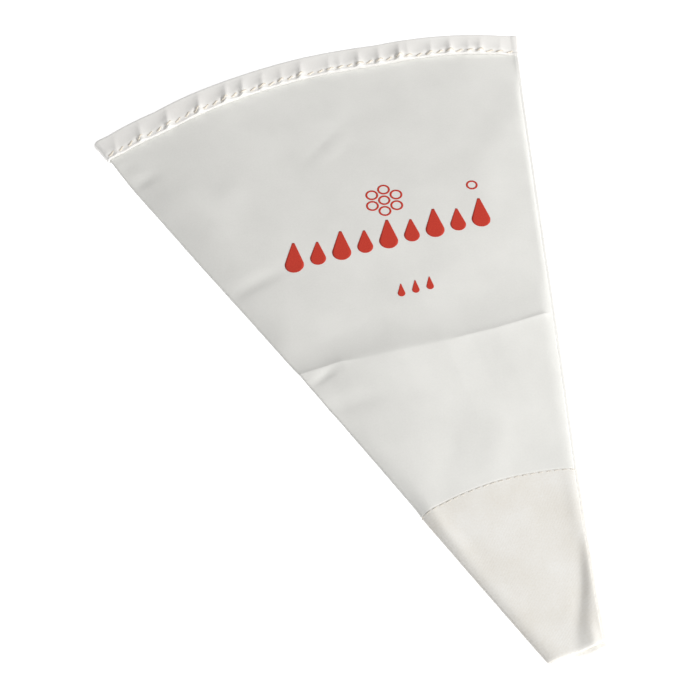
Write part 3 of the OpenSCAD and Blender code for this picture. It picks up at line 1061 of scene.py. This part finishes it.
# ---- light, floor and camera, in metres ----
FLOOR_HALF = 6.0
KEY_PLACE, KEY_SIZE, KEY_POWER, KEY_COLOUR = (0.74, -0.76, 0.72), 0.5, 16.6, (1.0, 0.992, 0.975)
FILL_PLACE, FILL_SIZE, FILL_POWER, FILL_COLOUR = (-0.9, 0.45, 0.8), 0.8, 2.3, (1.0, 0.995, 0.985)
SKY_COLOUR, SKY_STRENGTH = (1.0, 0.99, 0.975, 1), 0.27
CAMERA_PLACE, CAMERA_LOOK = (-0.15464, -0.35549, 0.52263), (0.19658, 0.54998, -0.81171)
CAMERA_ROLL, CAMERA_LENS = 0.00495, 90.5


def make_stage():
    """A pale floor that gives off a little light, so that it stays plain."""
    corners = [(x * FLOOR_HALF, y * FLOOR_HALF, 0) for x, y in ((-1, -1), (1, -1), (1, 1), (-1, 1))]
    floor = new_object("floor", corners, [(0, 1, 2, 3)])
    m = Nodes("floor", Base_Color=(0.72, 0.72, 0.73, 1), Roughness=1.0, Specular_IOR_Level=0.0,
              Emission_Color=(1, 1, 1, 1), Emission_Strength=0.74)
    floor.data.materials.append(m.mat)


def area_light(name, place, size, power, colour):
    """A round light that is turned to the frame's origin."""
    data = bpy.data.lights.new(name, "AREA")
    data.shape = "DISK"
    data.size = size
    data.energy = power
    data.color = colour
    obj = bpy.data.objects.new(name, data)
    bpy.context.scene.collection.objects.link(obj)
    obj.location = place
    obj.rotation_euler = (-Vector(place)).to_track_quat("-Z", "Y").to_euler()


def make_light():
    world = bpy.data.worlds.new("studio")
    bpy.context.scene.world = world
    world.use_nodes = True
    background = world.node_tree.nodes["Background"]
    background.inputs["Color"].default_value = SKY_COLOUR
    background.inputs["Strength"].default_value = SKY_STRENGTH
    area_light("key", KEY_PLACE, KEY_SIZE, KEY_POWER, KEY_COLOUR)
    area_light("fill", FILL_PLACE, FILL_SIZE, FILL_POWER, FILL_COLOUR)
    bpy.context.scene.view_settings.view_transform = "Standard"
    bpy.context.scene.view_settings.look = "None"


def make_camera():
    data = bpy.data.cameras.new("camera")
    data.sensor_width = 36.0
    data.lens = CAMERA_LENS
    data.dof.use_dof = False
    obj = bpy.data.objects.new("camera", data)
    bpy.context.scene.collection.objects.link(obj)
    obj.location = CAMERA_PLACE
    turn = Vector(CAMERA_LOOK).to_track_quat("-Z", "Y") @ Quaternion((0, 0, 1), CAMERA_ROLL)
    obj.rotation_euler = turn.to_euler()
    bpy.context.scene.camera = obj


def crosses_crease(obj):
    """Bakes the place of a piece that crosses the crease, between the upper and the lower half, into its
    mesh.
    """
    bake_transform(obj)


def dress(obj, material, replaced):
    """Gives a piece its material and hides the CAD nodes that it stands for."""
    obj.data.materials.append(material)
    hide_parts(*replaced)


def make_threads(names, lots, radius, material, nodes):
    """One piece of stitches from each lot, each standing for one CAD node."""
    pieces = [stitch_tubes(name, lot, radius) for name, lot in zip(names, lots)]
    for obj, node in zip(pieces, nodes):
        dress(obj, material, [node])
    return pieces


def make_cloth_pieces():
    """The bag's cloth, its hem and its cuff, and the hem's place on the bag."""
    cloth_mat = cloth_material("cloth", srgb(238, 238, 235), srgb(230, 230, 227), 0.35, 0.55)
    hem_mat = cloth_material("hem", srgb(251, 250, 248), srgb(247, 245, 242), 0.5, 0.65)
    cuff_mat = cloth_material("cuff", srgb(241, 240, 237), srgb(230, 226, 218), 0.35, 0.8, twill=True)

    cloth = make_cloth()
    dress(cloth, cloth_mat, UPPER_NODES + LOWER_NODES)
    crosses_crease(cloth)

    hem = Hem()
    mouth_hem = make_hem(hem)
    dress(mouth_hem, hem_mat, HEM_NODES)
    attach(mouth_hem, "upper")

    cuff = make_cuff()
    dress(cuff, cuff_mat, CUFF_NODES)
    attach(cuff, "lower")
    return cloth, mouth_hem, cuff, hem


def make_thread_pieces(hem):
    """The stitches of the hem, of the cuff and of the side seam."""
    # the first colour of each thread is painted shade for the twist's grooves, the second its ridges'
    # colour
    hem_mat = thread_material("thread", srgb(226, 215, 198), srgb(249, 244, 234))
    cuff_mat = thread_material("cuff_thread", srgb(214, 206, 194), srgb(238, 234, 226))
    seam_mat = thread_material("seam_thread", srgb(236, 236, 233), srgb(240, 240, 237))

    hem_threads = make_threads(("hem_stitches_front", "hem_stitches_back"), hem_stitches(hem),
                               HEM_THREAD_R, hem_mat, ("front_hem_thread", "back_hem_thread"))
    for obj in hem_threads:
        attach(obj, "upper")

    cuff_threads = make_threads(("cuff_stitches_front", "cuff_stitches_back"), cuff_stitches(),
                                CUFF_THREAD_R, cuff_mat, ("cuff_thread_front", "cuff_thread_back"))
    for obj in cuff_threads:
        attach(obj, "lower")

    seam_threads = make_threads(("seam_stitches_upper", "seam_stitches_lower"), seam_stitches(),
                                SEAM_THREAD_R, seam_mat,
                                ("side_seam_thread_upper", "side_seam_thread_lower"))
    for obj in seam_threads:
        crosses_crease(obj)
    return hem_threads, cuff_threads, seam_threads


def make_print():
    """The three printed pieces, each in place of one CAD node."""
    ink = print_material()
    prints = [
        print_object("print_drops", print_drops()),
        print_object("print_rosette", print_rosette()),
        print_object("print_size_drops", print_size_drops()),
    ]
    for obj, node in zip(prints, ("front_ornament", "front_rosette", "front_size_drops")):
        dress(obj, ink, [node])
        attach(obj, "upper")
    return prints


def main():
    make_camera()
    make_light()
    make_stage()
    cloth, mouth_hem, cuff, hem = make_cloth_pieces()
    hem_threads, cuff_threads, seam_threads = make_thread_pieces(hem)
    prints = make_print()


main()
